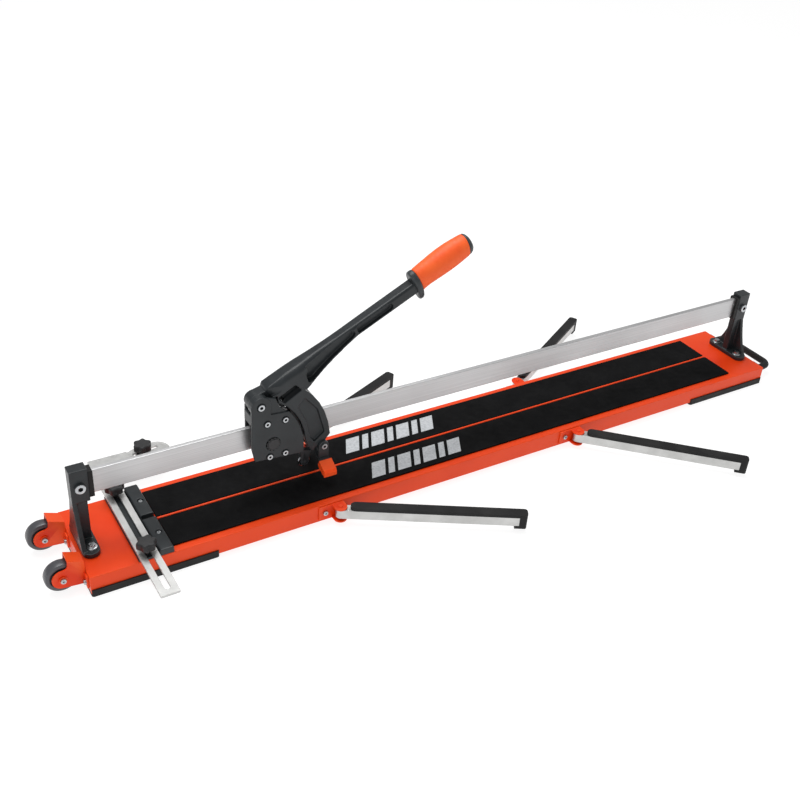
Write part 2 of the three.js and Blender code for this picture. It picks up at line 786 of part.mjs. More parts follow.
// torsion spring round the pivot bolt, in a recess of the lever's hub
function returnSpring() {
  class Helix extends THREE.Curve {
    getPoint(t, target = new THREE.Vector3()) {
      const turn = t * Math.PI * 2 * springTurns;
      const y = hubHalfWidth - springSeat + springWire + 0.2 + t * springTurns * springWire * 2.1;
      return target.set(springRadius * Math.cos(turn), y, springRadius * Math.sin(turn));
    }
  }
  const wire = new THREE.Shape();
  wire.absarc(0, 0, springWire, 0, Math.PI * 2);
  return solid(new THREE.ExtrudeGeometry(wire, { steps: 40, extrudePath: new Helix(), curveSegments: 3 }));
}

// ---------------------------------------------------------------- lever
// The lever is built about its pivot, with its beam at the lever's own angle above +X.
// The beam's side outline, along and above its own centre line.
function beamShape() {
  const top = leverOffset + leverHeight / 2;
  const low = leverOffset - leverHeight / 2;
  const shape = new THREE.Shape();
  shape.moveTo(24, -4);
  shape.lineTo(66, -14);
  shape.lineTo(76, -30);
  shape.quadraticCurveTo(120, -17, 190, low);
  shape.lineTo(gripStart + 1, low);
  shape.lineTo(gripStart + 1, top);
  shape.lineTo(160, top);
  shape.quadraticCurveTo(90, 16, 60, 16);
  shape.lineTo(28, 15);
  shape.quadraticCurveTo(21, 14, 20, 9);
  return shape;
}

// the beam's plan: as wide as the fork over the head, narrowing to the bar
function beamPlan() {
  const half = leverWidth / 2;
  const shape = new THREE.Shape();
  shape.moveTo(10, -forkOuter);
  shape.lineTo(82, -forkOuter);
  shape.quadraticCurveTo(120, -half - 1, 165, -half);
  shape.lineTo(gripStart + 5, -half);
  shape.lineTo(gripStart + 5, half);
  shape.lineTo(165, half);
  shape.quadraticCurveTo(120, half + 1, 82, forkOuter);
  shape.lineTo(10, forkOuter);
  return shape;
}

function tiltBeam(geometrySolid) {
  return geometrySolid.rotate([0, -leverAngle, 0]);
}

// fork arm that curves down past the side of the rail
function forkShape() {
  const shape = new THREE.Shape();
  shape.moveTo(30, 12);
  shape.lineTo(32, -4);
  shape.quadraticCurveTo(76, -34, 81, -92);
  shape.lineTo(88, -109);
  shape.lineTo(96, -111);
  shape.lineTo(115, -101);
  shape.lineTo(125, -89);
  shape.quadraticCurveTo(118, -26, 77, 9);
  shape.lineTo(80, 24);
  shape.lineTo(40, 24);
  return shape;
}

function leverBody() {
  const half = leverWidth / 2;
  const beam = extrudeY(beamShape(), -forkOuter, forkOuter).intersect(extrudeZ(beamPlan(), -60, 60));
  const arms = [-1, 1].map((side) => {
    const [y0, y1] = side < 0 ? [-forkOuter, -forkInner] : [forkInner, forkOuter];
    return join(
      extrudeY(forkShape(), y0, y1),
      rodY(footPivot.x, footPivot.z, 9, y0, y1),
    );
  });
  const spigot = rodX(0, gripOffset, spigotRadius, gripStart, gripStart + gripLength - 12, 12);
  const hub = rodY(0, 0, hubRadius, -hubHalfWidth, hubHalfWidth, 20);
  const neck = extrudeY(outline([[0, -12], [34, -6], [40, 26], [0, 15]]), -hubHalfWidth, hubHalfWidth);
  const bridge = extrudeY(outline([[34, -7], [70, -4], [70, 20], [38, 18]]), -forkOuter, forkOuter);
  const tipBridge = extrudeY(outline([[84, -102], [97, -102], [97, -117], [90, -112]]), -forkOuter, forkOuter);
  const bore = rodY(0, 0, pivotRadius + running, -60, 60);
  const springHollow = rodY(0, 0, springRadius + springWire + 0.6, hubHalfWidth - springSeat, 60, 20);
  const window = extrudeY(outline([[32, 4], [43, -7], [72, 9.5], [61, 20]]), -60, 60);
  const pocketShape = (x0, x1) => outline([
    [x0, leverOffset - 6], [x1, leverOffset - 6], [x1, leverOffset + 5], [x0, leverOffset + 5],
  ]);
  const pockets = beamPockets.flatMap(([x0, x1]) => [-1, 1].map((side) => {
    const [y0, y1] = side < 0 ? [-half - 9, -half + 4] : [half - 4, half + 9];
    return extrudeY(pocketShape(x0, x1), y0, y1);
  }));
  const bar = tiltBeam(cut(join(beam, spigot), ...pockets));
  const footBore = rodY(footPivot.x, footPivot.z, footPinRadius + running, -60, 60);
  return cut(join(bar, ...arms, hub, neck, bridge, tipBridge), bore, springHollow, window, footBore);
}

// moulded grip: a guard that drops below at the front, a swelling sleeve and a domed end
function grip() {
  const bore = spigotRadius + gap;
  const end = gripLength - 12 + gap; // where the bore stops
  const profile = [
    [bore, 2], [guardRadius, 2], [guardRadius, 7], [gripRadius - 2.5, 9], [gripRadius - 2, 26],
    [gripRadius, 60], [gripRadius - 1, 84], [gripRadius - 2.5, gripLength - 8],
    [gripRadius - 6, gripLength - 2], [gripRadius - 12, gripLength], [0, gripLength + 0.5],
    [0, end], [bore, end], [bore, 2],
  ].map(([r, y]) => new THREE.Vector2(r, y));
  const geometry = new THREE.LatheGeometry(profile, 20);
  geometry.rotateZ(-Math.PI / 2);
  geometry.translate(gripStart, 0, gripOffset);
  const guard = extrudeY(outline([
    [gripStart + 2, gripOffset - 14], [gripStart + 2, gripOffset - 35],
    [gripStart + 5, gripOffset - 37], [gripStart + 14, gripOffset - 14],
  ]), -7, 7);
  return join(solid(geometry), guard);
}

// inverted V of steel strip with two lugs, hung from the fork's tips; built about its pivot
function breakerFoot() {
  const lugInner = forkOuter + gap;
  const lugOuter = lugInner + 3.5;
  const lug = (side) => {
    const [y0, y1] = side < 0 ? [-lugOuter, -lugInner] : [lugInner, lugOuter];
    const shape = new THREE.Shape();
    shape.moveTo(-9, -24);
    shape.lineTo(9, -24);
    shape.lineTo(9, 0);
    shape.absarc(0, 0, 9, 0, Math.PI);
    return extrudeY(shape, y0, y1);
  };
  const drop = Math.tan(degrees(padTilt));
  const reach = 44;
  const thick = 4;
  const flat = 6;
  const apex = -16;
  const section = outline([
    [-reach, apex - drop * (reach - flat)],
    [-flat, apex],
    [flat, apex],
    [reach, apex - drop * (reach - flat)],
    [reach, apex - drop * (reach - flat) - thick],
    [flat, apex - thick],
    [-flat, apex - thick],
    [-reach, apex - drop * (reach - flat) - thick],
  ]);
  const strip = extrudeX(section, -9, 9);
  const bore = rodY(0, 0, footPinRadius + gap, -60, 60);
  return cut(join(lug(-1), lug(1), strip), bore);
}

// orange nylon shoe over one end of the breaker foot
function breakerPad(side) {
  const drop = Math.tan(degrees(padTilt));
  const apex = -16;
  const flat = 6;
  const under = (y) => apex - drop * (Math.abs(y) - flat) - 4 - gap;
  const near = 24;
  const far = 44 + gap;
  const thick = 5.5;
  const section = outline([
    [side * near, under(near)],
    [side * far, under(far)],
    [side * far, under(far) + 4 + 2 * gap + 2.5],
    [side * (far + 3), under(far) + 3],
    [side * (far + 3), under(far) - thick + 1],
    [side * (near + 4), under(near) - thick - 3],
    [side * near, under(near) - thick],
  ]);
  const half = 11.5;
  const sole = extrudeX(section, -half, half);
  const cover = extrudeX(outline([
    [side * (near + 3), under(near + 3) + 4 + 2 * gap],
    [side * far, under(far) + 4 + 2 * gap],
    [side * far, under(far) + 4 + 2 * gap + 2.5],
    [side * (near + 3), under(near + 3) + 4 + 2 * gap + 2.5],
  ]), -half, half);
  const sides = [[-half, -9 - gap], [9 + gap, half]].map(([x0, x1]) => extrudeX(outline([
    [side * (near + 3), under(near + 3) - 1],
    [side * (far + 1), under(far) - 1],
    [side * (far + 1), under(far) + 4 + 2 * gap + 2],
    [side * (near + 3), under(near + 3) + 4 + 2 * gap + 2],
  ]), x0, x1));
  return join(sole, cover, ...sides);
}

function footBolt() {
  const face = forkOuter + gap + 3.5;
  return join(
    rodY(0, 0, footPinRadius, -face - 1, face + 1),
    cut(
      rodY(0, 0, 5, -face - 3, -face - gap),
      rodY(0, 0, 2.5, -face - 5, -face - 1.5, 6),
    ),
    rodY(0, 0, 5.8, face + gap, face + 4.5, 6),
  );
}

// steel holder fixed between the fork's tips, with the scoring wheel's pin pressed in
function scoreHolder() {
  const shape = new THREE.Shape();
  shape.moveTo(-7, 0);
  shape.lineTo(-7, 22);
  shape.lineTo(-2, 24);
  shape.lineTo(12, 20);
  shape.lineTo(7, 8);
  shape.lineTo(7, 0);
  shape.absarc(0, 0, 7, 0, -Math.PI, true);
  const half = 5;
  const body = extrudeY(shape, -half, half);
  const fork = block(-16, 16, -scoreThickness / 2 - 0.5, scoreThickness / 2 + 0.5, -20, scoreRadius + 1.5);
  const pin = rodY(0, 0, 2.5, -half - 0.8, half + 0.8, 16);
  return join(cut(body, fork), pin);
}

function scoringWheel() {
  const bore = 2.5 + running;
  const half = scoreThickness / 2;
  const profile = [
    [bore, -half], [scoreRadius - 1.5, -half], [scoreRadius, 0], [scoreRadius - 1.5, half],
    [bore, half], [bore, -half],
  ].map(([r, y]) => new THREE.Vector2(r, y));
  return solid(new THREE.LatheGeometry(profile, 24));
}

// ---------------------------------------------------------------- assembly
const model = new THREE.Group();

place(model, 'table_tray', finishes.orangePaint(), tableTray());
place(model, 'breaking_bar', finishes.orangePaint(), breakingBar());
place(model, 'mat_near', finishes.blackRubber(), mat(-1));
place(model, 'mat_far', finishes.blackRubber(), mat(1));
place(model, 'foot_wheel_end', finishes.blackRubber(), footShoe(0));
place(model, 'foot_handle_end', finishes.blackRubber(), footShoe(tableEnd - footLength / 2));

place(model, 'post_wheel_end', finishes.darkCasting(), post(1), [wheelPostX, 0, 0]);
place(model, 'post_handle_end', finishes.darkCasting(), post(-1), [handlePostX, 0, 0]);
place(model, 'rail_bolt_wheel_end', finishes.zinc(), railBolt(), [wheelPostX, 0, 0]);
place(model, 'rail_bolt_handle_end', finishes.zinc(), railBolt(), [handlePostX, 0, 0]);
place(model, 'guide_rail', finishes.brightSteel(), guideRail());
place(model, 'bumper_wheel_end', finishes.blackRubber(), bumper(wheelPostX + postWidth / 2 + gap));
place(model, 'bumper_handle_end', finishes.blackRubber(), bumper(handlePostX - postWidth / 2 - gap - bumperThickness));
place(model, 'carry_handle', finishes.blackRubber(), carryHandle());

for (const [name, side] of [['near', -1], ['far', 1]]) {
  const caster = new THREE.Group();
  caster.position.set(tableStart - casterReach, side * casterSpread, casterHeight);
  model.add(caster);
  place(caster, `caster_bracket_${name}`, finishes.orangePaint(), casterBracket());
  place(caster, `caster_wheel_${name}`, finishes.greyTyre(), casterWheel());
}

place(model, 'fence_body', finishes.darkCasting(), fenceBody());
place(model, 'measuring_bar', finishes.aluminium(), measuringBar());
place(model, 'cross_arm', finishes.aluminium(), crossArm());
const knobSeat = tableTop + ledgeHeight + 2 * gap + slotBarThickness;
for (const [name, side] of [['near', -1], ['far', 1]]) {
  const knob = starKnob(knobSeat - tableTop - 2, 8);
  place(model, `clamp_knob_${name}`, finishes.blackPlastic(), knob, [slotBarX, side * fenceKnobSpread, knobSeat]);
}

const swing = new THREE.Group();
swing.position.set(anglePivot().x, anglePivot().y, 0);
swing.rotation.z = degrees(anglePlateAngle);
model.add(swing);
place(swing, 'angle_plate', finishes.aluminium(), anglePlate());
const stopPlace = [anglePlateLength - 44, 8, tableTop + ledgeHeight + slotBarThickness + gap];
place(swing, 'stop_knob', finishes.blackPlastic(), starKnob(11, 4), stopPlace);
place(swing, 'stop_block', finishes.blackPlastic(), stopBlock(), stopPlace);

for (const [name, angle] of Object.entries(armAngles)) {
  const side = name.startsWith('near') ? -1 : 1;
  const x = name.endsWith('left') ? leftArmX : rightArmX;
  const seat = new THREE.Group();
  seat.position.set(x, side * (halfWidth + armPivotOut), 0);
  model.add(seat);
  place(seat, `arm_bracket_${name}`, finishes.orangePaint(), armBracket(side));
  const arm = new THREE.Group();
  arm.rotation.z = degrees(angle);
  seat.add(arm);
  place(arm, `arm_bar_${name}`, finishes.aluminium(), armBar());
  place(arm, `arm_pad_${name}`, finishes.blackRubber(), armPad());
}

const carriage = new THREE.Group();
carriage.position.set(carriageX, 0, 0);
model.add(carriage);
place(carriage, 'carriage_plate_near', finishes.darkCasting(), carriagePlate(-1));
place(carriage, 'carriage_plate_far', finishes.darkCasting(), carriagePlate(1));
place(carriage, 'rail_saddle', finishes.blackPlastic(), railSaddle());
place(carriage, 'adjuster_cap', finishes.blackPlastic(), adjusterCap());
const { upperZ, lowerZ } = rollerPlaces();
const rollerSets = [
  ['upper', upperRollerX, upperZ, upperRollerRadius],
  ['lower', lowerRollerX, lowerZ, lowerRollerRadius],
];
for (const [row, places, z, radius] of rollerSets) {
  for (const [index, end] of ['rear', 'front'].entries()) {
    place(carriage, `roller_${row}_${end}`, finishes.brightSteel(), roller(radius), [places[index], 0, z]);
    place(carriage, `roller_pin_${row}_${end}`, finishes.zinc(), rollerPin(), [places[index], 0, z]);
  }
}

const lever = new THREE.Group();
lever.position.set(0, 0, pivotZ);
carriage.add(lever);
place(lever, 'pivot_bolt', finishes.zinc(), pivotBolt());
place(lever, 'return_spring', finishes.brightSteel(), returnSpring());
place(lever, 'lever_body', finishes.darkCasting(), leverBody());
place(lever, 'score_holder', finishes.brightSteel(), scoreHolder(), [scorePivot.x, 0, scorePivot.z]);
place(lever, 'scoring_wheel', finishes.carbide(), scoringWheel(), [scorePivot.x, 0, scorePivot.z]);
place(lever, 'foot_bolt', finishes.zinc(), footBolt(), [footPivot.x, 0, footPivot.z]);
place(lever, 'breaker_foot', finishes.darkCasting(), breakerFoot(), [footPivot.x, 0, footPivot.z]);
place(lever, 'breaker_pad_near', finishes.orangePaint(), breakerPad(-1), [footPivot.x, 0, footPivot.z]);
place(lever, 'breaker_pad_far', finishes.orangePaint(), breakerPad(1), [footPivot.x, 0, footPivot.z]);
const handle = new THREE.Group();
handle.rotation.y = degrees(-leverAngle);
lever.add(handle);
place(handle, 'grip', finishes.orangeGrip(), grip());

export default model;
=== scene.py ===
# Manual tile cutter: the finished look of every piece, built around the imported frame.
# Metres, +Z up, +X along the cut from the transport wheels to the carry handle.
import math
import json

import bpy
from mathutils import Matrix, Vector


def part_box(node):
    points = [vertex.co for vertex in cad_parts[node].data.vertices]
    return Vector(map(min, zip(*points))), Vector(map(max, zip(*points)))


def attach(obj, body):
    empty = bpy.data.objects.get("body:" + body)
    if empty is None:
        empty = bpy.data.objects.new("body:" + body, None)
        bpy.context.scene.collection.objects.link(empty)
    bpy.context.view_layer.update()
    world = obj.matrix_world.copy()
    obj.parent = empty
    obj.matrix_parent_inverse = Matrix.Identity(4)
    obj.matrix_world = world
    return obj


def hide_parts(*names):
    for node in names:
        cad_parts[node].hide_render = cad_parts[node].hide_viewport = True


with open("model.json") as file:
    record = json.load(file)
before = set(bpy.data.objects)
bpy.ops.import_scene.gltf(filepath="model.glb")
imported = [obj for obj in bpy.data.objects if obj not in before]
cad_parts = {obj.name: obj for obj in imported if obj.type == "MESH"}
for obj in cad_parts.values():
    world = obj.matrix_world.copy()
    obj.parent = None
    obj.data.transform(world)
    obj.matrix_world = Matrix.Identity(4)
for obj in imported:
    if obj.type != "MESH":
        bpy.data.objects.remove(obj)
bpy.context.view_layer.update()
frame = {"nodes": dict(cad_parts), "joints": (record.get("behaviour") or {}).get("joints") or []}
scene = bpy.context.scene

# ---------------------------------------------------------------- camera, light and floor
# The camera stands past the wheel end on the near side and looks down along the table. A big
# soft lamp overhead and two fills give the even light of a packshot, on a pale lit floor.
camera_data = bpy.data.cameras.new("camera")
camera_data.lens = 47.0
camera_data.sensor_width = 36.0
camera_data.clip_end = 50.0
camera = bpy.data.objects.new("camera", camera_data)
camera.location = (-0.3474, -1.2479, 1.1088)
camera.rotation_euler = [math.radians(a) for a in (56.837, -3.699, -30.723)]
scene.collection.objects.link(camera)
scene.camera = camera

table_low, table_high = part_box("table_tray")
table_middle = (table_low + table_high) / 2


def soft_lamp(name, place, size, watts):
    lamp_data = bpy.data.lights.new(name, "AREA")
    lamp_data.shape = "RECTANGLE"
    lamp_data.size, lamp_data.size_y = size
    lamp_data.energy = watts
    lamp = bpy.data.objects.new(name, lamp_data)
    lamp.location = place
    lamp.rotation_euler = (table_middle - Vector(place)).to_track_quat("-Z", "Y").to_euler()
    scene.collection.objects.link(lamp)


soft_lamp("lamp_over", (0.3, 0.7, 2.4), (2.6, 1.2), 52)
soft_lamp("lamp_near", (-1.6, -2.0, 1.5), (1.6, 1.2), 9)
soft_lamp("lamp_end", (2.9, -1.4, 1.6), (1.4, 1.6), 5)

world = bpy.data.worlds.new("studio")
world.use_nodes = True
world.node_tree.nodes["Background"].inputs["Color"].default_value = (1, 1, 1, 1)
world.node_tree.nodes["Background"].inputs["Strength"].default_value = 0.42
scene.world = world
scene.view_settings.view_transform = "Standard"

bpy.ops.mesh.primitive_plane_add(size=40, location=(0, 0, -0.0005))
floor = bpy.context.object
floor.name = "studio_floor"
floor_paint = bpy.data.materials.new("floor_paint")
floor_paint.use_nodes = True
floor_shader = floor_paint.node_tree.nodes["Principled BSDF"]
floor_shader.inputs["Base Color"].default_value = (0.26, 0.26, 0.26, 1)
floor_shader.inputs["Emission Color"].default_value = (1, 1, 1, 1)
floor_shader.inputs["Emission Strength"].default_value = 0.86
floor_shader.inputs["Roughness"].default_value = 0.9
floor_shader.inputs["Specular IOR Level"].default_value = 0.1
floor.data.materials.append(floor_paint)

# ---------------------------------------------------------------- table
# The tray is one sheet of steel folded down on all four sides, with soft bends, and coated in
# orange powder. The coating has a faint orange-peel skin and dulls slightly in patches.


def new_finish(name, metallic=0.0, coat=0.0, coat_roughness=0.2, specular=0.5):
    """A material with its shader, and the object's own coordinates to place patterns by."""
    finish = bpy.data.materials.new(name)
    finish.use_nodes = True
    tree = finish.node_tree
    shader = tree.nodes["Principled BSDF"]
    shader.inputs["Metallic"].default_value = metallic
    shader.inputs["Coat Weight"].default_value = coat
    shader.inputs["Coat Roughness"].default_value = coat_roughness
    shader.inputs["Specular IOR Level"].default_value = specular
    place = tree.nodes.new("ShaderNodeTexCoord").outputs["Object"]
    return finish, tree, shader, place


def noise(tree, place, scale, detail=2.0, stretch=(1, 1, 1)):
    """A cloudy pattern from 0 to 1, so many cells to the metre, each axis stretched in turn."""
    mapping = tree.nodes.new("ShaderNodeMapping")
    mapping.inputs["Scale"].default_value = stretch
    texture = tree.nodes.new("ShaderNodeTexNoise")
    texture.inputs["Scale"].default_value = scale
    texture.inputs["Detail"].default_value = detail
    tree.links.new(place, mapping.inputs["Vector"])
    tree.links.new(mapping.outputs["Vector"], texture.inputs["Vector"])
    return texture.outputs["Fac"]


def colour_steps(tree, value, steps):
    """Colours along a value; steps are (place from 0 to 1, colour)."""
    ramp = tree.nodes.new("ShaderNodeValToRGB")
    band = ramp.color_ramp
    while len(band.elements) < len(steps):
        band.elements.new(0.5)
    for element, (at, colour) in zip(band.elements, steps):
        element.position = at
        element.color = (*colour, 1)
    tree.links.new(value, ramp.inputs["Fac"])
    return ramp.outputs["Color"]


def spread(tree, value, low, high, start=0.3, end=0.7):
    """Spreads the middle of a pattern over low to high."""
    node = tree.nodes.new("ShaderNodeMapRange")
    node.inputs["From Min"].default_value = start
    node.inputs["From Max"].default_value = end
    node.inputs["To Min"].default_value = low
    node.inputs["To Max"].default_value = high
    tree.links.new(value, node.inputs["Value"])
    return node.outputs["Result"]


def raise_skin(tree, shader, patterns):
    """Bumps the surface with (pattern, depth in metres, strength), one upon another."""
    normal = None
    for height, depth, strength in patterns:
        bump = tree.nodes.new("ShaderNodeBump")
        bump.inputs["Distance"].default_value = depth
        bump.inputs["Strength"].default_value = strength
        tree.links.new(height, bump.inputs["Height"])
        if normal is not None:
            tree.links.new(normal, bump.inputs["Normal"])
        normal = bump.outputs["Normal"]
    tree.links.new(normal, shader.inputs["Normal"])


def painted_edge_highlight(tree, colour, highlight_colour):
    """Painted highlight: turns the colour towards the edge colour along the sharp edges, where light
    catches them.
    """
    point = tree.nodes.new("ShaderNodeNewGeometry").outputs["Pointiness"]
    mix = tree.nodes.new("ShaderNodeMix")
    mix.data_type = "RGBA"
    tree.links.new(spread(tree, point, 0, 1, 0.52, 0.60), mix.inputs["Factor"])
    tree.links.new(colour, mix.inputs[6])
    mix.inputs[7].default_value = (*highlight_colour, 1)
    return mix.outputs[2]


def orange_powder_coat():
    finish, tree, shader, place = new_finish("orange_powder_coat", coat=0.06, coat_roughness=0.25,
                                             specular=0.2)
    cloud = noise(tree, place, 14, 3)
    base = colour_steps(tree, cloud, [(0.3, (0.76, 0.034, 0.001)), (0.7, (0.83, 0.046, 0.002))])
    # painted highlight: the coat turns lighter along its sharp edges
    tree.links.new(painted_edge_highlight(tree, base, (0.90, 0.10, 0.02)), shader.inputs["Base Color"])
    dull = noise(tree, place, 45, 4)
    tree.links.new(spread(tree, dull, 0.30, 0.44), shader.inputs["Roughness"])
    wave = noise(tree, place, 60, 1)
    peel = noise(tree, place, 520, 2)
    raise_skin(tree, shader, [(wave, 0.0006, 0.10), (peel, 0.00018, 0.35)])
    return finish


orange_paint = orange_powder_coat()


def only(piece):
    """Selects one object and makes it active."""
    bpy.ops.object.select_all(action="DESELECT")
    piece.select_set(True)
    bpy.context.view_layer.objects.active = piece


def apply_new(piece, kind, **settings):
    """Adds a modifier with these settings and applies it."""
    only(piece)
    modifier = piece.modifiers.new(kind.lower(), kind)
    for name, value in settings.items():
        setattr(modifier, name, value)
    bpy.ops.object.modifier_apply(modifier=modifier.name)


def smooth(piece, angle=40):
    """Shades the curved faces as one, and keeps the broad flat faces flat."""
    only(piece)
    bpy.ops.object.shade_smooth_by_angle(angle=math.radians(angle))
    apply_new(piece, "WEIGHTED_NORMAL", keep_sharp=True, weight=100)


def round_edges(piece, width, segments=2, angle=30):
    """Rounds every edge sharper than the angle."""
    apply_new(piece, "BEVEL", limit_method="ANGLE", angle_limit=math.radians(angle), width=width,
              segments=segments)


def copy_of(node):
    """A copy of a CAD node with its flat faces made whole, ready to be worked on."""
    piece = bpy.data.objects.new(f"{node}_dressed", frame["nodes"][node].data.copy())
    piece.data.materials.clear()
    scene.collection.objects.link(piece)
    only(piece)
    bpy.ops.object.mode_set(mode="EDIT")
    bpy.ops.mesh.select_all(action="SELECT")
    bpy.ops.mesh.remove_doubles(threshold=2e-6)
    bpy.ops.mesh.dissolve_limited(angle_limit=math.radians(0.6))
    bpy.ops.object.mode_set(mode="OBJECT")
    return piece


def fit(piece, body, slot, finish, *nodes):
    """Gives a piece its finish and its body, and the CAD nodes it stands for; the slot is not used.
    """
    piece.data.materials.clear()
    piece.data.materials.append(finish)
    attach(piece, body)
    if nodes:
        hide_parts(*nodes)


def dress(node, width, body, slot, finish, segments=2):
    """A CAD node's copy with rounded edges, in its finish and in the node's place."""
    piece = copy_of(node)
    if width:
        round_edges(piece, width, segments)
    smooth(piece)
    fit(piece, body, slot, finish, node)


dress("table_tray", 0.0013, "base", "orange_paint", orange_paint, 3)

# ---------------------------------------------------------------- breaking bar
# A T-shaped steel bar under the table. Its crest stands through a slot as the thin line that
# the tile snaps over; it has the table's coat.
dress("breaking_bar", 0.0005, "base", "orange_paint", orange_paint)

# ---------------------------------------------------------------- mats
# Two strips of black rubber with a fine pebbled grain, glued either side of the bar. Each has
# a plain printed pattern of slanted silver bars.


def grained_rubber():
    finish, tree, shader, place = new_finish("grained_rubber", specular=0.06)
    cloud = noise(tree, place, 22, 4)
    base = colour_steps(tree, cloud, [(0.35, (0.0042, 0.0042, 0.0045)),
                                      (0.65, (0.0068, 0.0068, 0.0072))])
    tree.links.new(base, shader.inputs["Base Color"])
    worn = noise(tree, place, 90, 3)
    tree.links.new(spread(tree, worn, 0.62, 0.82), shader.inputs["Roughness"])
    pebble = tree.nodes.new("ShaderNodeTexVoronoi")
    pebble.inputs["Scale"].default_value = 900
    tree.links.new(place, pebble.inputs["Vector"])
    raise_skin(tree, shader, [(pebble.outputs["Distance"], 0.0003, 0.5)])
    return finish


mat_rubber = grained_rubber()
for side in ("near", "far"):
    dress(f"mat_{side}", 0.0006, "base", "black_rubber", mat_rubber)


def silver_ink():
    finish, tree, shader, place = new_finish("silver_ink", specular=0.4)
    worn = noise(tree, place, 260, 4)
    base = colour_steps(tree, worn, [(0.3, (0.40, 0.42, 0.44)), (0.6, (0.54, 0.56, 0.58))])
    tree.links.new(base, shader.inputs["Base Color"])
    tree.links.new(spread(tree, noise(tree, place, 120), 0.5, 0.7), shader.inputs["Roughness"])
    raise_skin(tree, shader, [(noise(tree, place, 900), 0.0001, 0.3)])
    return finish


printed_silver = silver_ink()
ink_depth = 0.00015
mat_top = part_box("mat_near")[1].z


def join_all(name, pieces):
    """Joins pieces into one object of that name."""
    bpy.ops.object.select_all(action="DESELECT")
    for piece in pieces:
        piece.select_set(True)
    bpy.context.view_layer.objects.active = pieces[0]
    bpy.ops.object.join()
    pieces[0].name = name
    return pieces[0]


def settle(piece):
    """Puts a new object's place into its mesh."""
    only(piece)
    bpy.ops.object.transform_apply(location=True, rotation=True, scale=True)


def printed_bar(start, low, width, height, lean):
    """One slanted bar of ink: a flat sheet whose far edge is pushed along, then given depth."""
    bpy.ops.mesh.primitive_plane_add(size=1, location=(start + width / 2, low + height / 2, mat_top))
    bar = bpy.context.object
    bar.scale = (width, height, 1)
    settle(bar)
    for vertex in bar.data.vertices:
        if vertex.co.y > low + height / 2:
            vertex.co.x += lean
    bpy.ops.object.mode_set(mode="EDIT")
    bpy.ops.mesh.select_all(action="SELECT")
    bpy.ops.mesh.extrude_region_move(TRANSFORM_OT_translate={"value": (0, 0, ink_depth)})
    bpy.ops.mesh.select_all(action="SELECT")
    bpy.ops.mesh.normals_make_consistent(inside=False)
    bpy.ops.object.mode_set(mode="OBJECT")
    return bar


bar_widths = (0.026, 0.012, 0.026, 0.012, 0.026, 0.012, 0.026)
bar_gap = 0.0065
bar_height = 0.038
bar_lean = 0.020
for side, row_start, row_low in (("near", 0.385, -0.060), ("far", 0.378, 0.020)):
    bars, x = [], row_start
    for width in bar_widths:
        bars.append(printed_bar(x, row_low, width, bar_height, bar_lean))
        x += width + bar_gap
    fit(join_all(f"mat_print_{side}", bars), "base", "zinc_plate", printed_silver)

# ---------------------------------------------------------------- rubber feet
# Soft rubber shoes pushed over the skirt at each end of the table, so it stands without
# sliding. They are moulded smooth and pick up a dusty bloom.


def smooth_rubber():
    finish, tree, shader, place = new_finish("smooth_rubber", specular=0.22)
    bloom = noise(tree, place, 35, 5)
    base = colour_steps(tree, bloom, [(0.4, (0.010, 0.010, 0.0105)), (0.75, (0.022, 0.022, 0.022))])
    tree.links.new(base, shader.inputs["Base Color"])
    tree.links.new(spread(tree, noise(tree, place, 70, 3), 0.48, 0.68), shader.inputs["Roughness"])
    raise_skin(tree, shader, [(noise(tree, place, 1400), 0.0001, 0.35)])
    return finish


black_rubber = smooth_rubber()
dress("foot_wheel_end", 0.0006, "base", "black_rubber", black_rubber)
dress("foot_handle_end", 0.0006, "base", "black_rubber", black_rubber)

# ---------------------------------------------------------------- posts
# Two aluminium castings in dark grey coat, T-shaped in plan with a flared foot, hold the rail's
# ends. The cast skin is slightly rough, with a painted highlight along its edges.


def cast_skin(name, dark, light, edge, rough_low, rough_high):
    finish, tree, shader, place = new_finish(name, coat=0.2, coat_roughness=0.25, specular=0.25)
    cloud = noise(tree, place, 30, 4)
    base = colour_steps(tree, cloud, [(0.3, dark), (0.7, light)])
    # the edge colour is a painted highlight along the sharp edges
    tree.links.new(painted_edge_highlight(tree, base, edge), shader.inputs["Base Color"])
    dull = noise(tree, place, 120, 3)
    tree.links.new(spread(tree, dull, rough_low, rough_high), shader.inputs["Roughness"])
    sand = noise(tree, place, 1100, 2)
    flow = noise(tree, place, 90, 2)
    raise_skin(tree, shader, [(flow, 0.0006, 0.12), (sand, 0.00016, 0.4)])
    return finish


dark_casting = cast_skin("dark_casting", (0.014, 0.017, 0.019), (0.022, 0.026, 0.029),
                         (0.060, 0.068, 0.073), 0.32, 0.44)


def cast(piece, voxel, rounds=4, keep=0.35):
    """Melts a piece's edges as a casting's are: remade in one skin, smoothed and thinned out."""
    apply_new(piece, "REMESH", mode="VOXEL", voxel_size=voxel, use_smooth_shade=True)
    apply_new(piece, "SMOOTH", factor=0.5, iterations=rounds)
    apply_new(piece, "DECIMATE", ratio=keep)
    only(piece)
    bpy.ops.object.shade_smooth_by_angle(angle=math.radians(50))
    return piece


for end in ("wheel_end", "handle_end"):
    post = cast(copy_of(f"post_{end}"), 0.0008)
    fit(post, "base", "dark_casting", dark_casting, f"post_{end}")

# ---------------------------------------------------------------- bolts and screws
# Zinc-plated steel: flanged bolts through the posts' feet and socket screws through the rail's
# ends. The plate is bright, with a faint blue cast and turning marks.


def zinc_plate():
    finish, tree, shader, place = new_finish("zinc_plate", metallic=1.0)
    cloud = noise(tree, place, 160, 3)
    base = colour_steps(tree, cloud, [(0.3, (0.40, 0.42, 0.44)), (0.7, (0.56, 0.57, 0.58))])
    tree.links.new(base, shader.inputs["Base Color"])
    tree.links.new(spread(tree, noise(tree, place, 300, 3), 0.22, 0.38), shader.inputs["Roughness"])
    raise_skin(tree, shader, [(noise(tree, place, 1500, 2), 0.00008, 0.4)])
    return finish


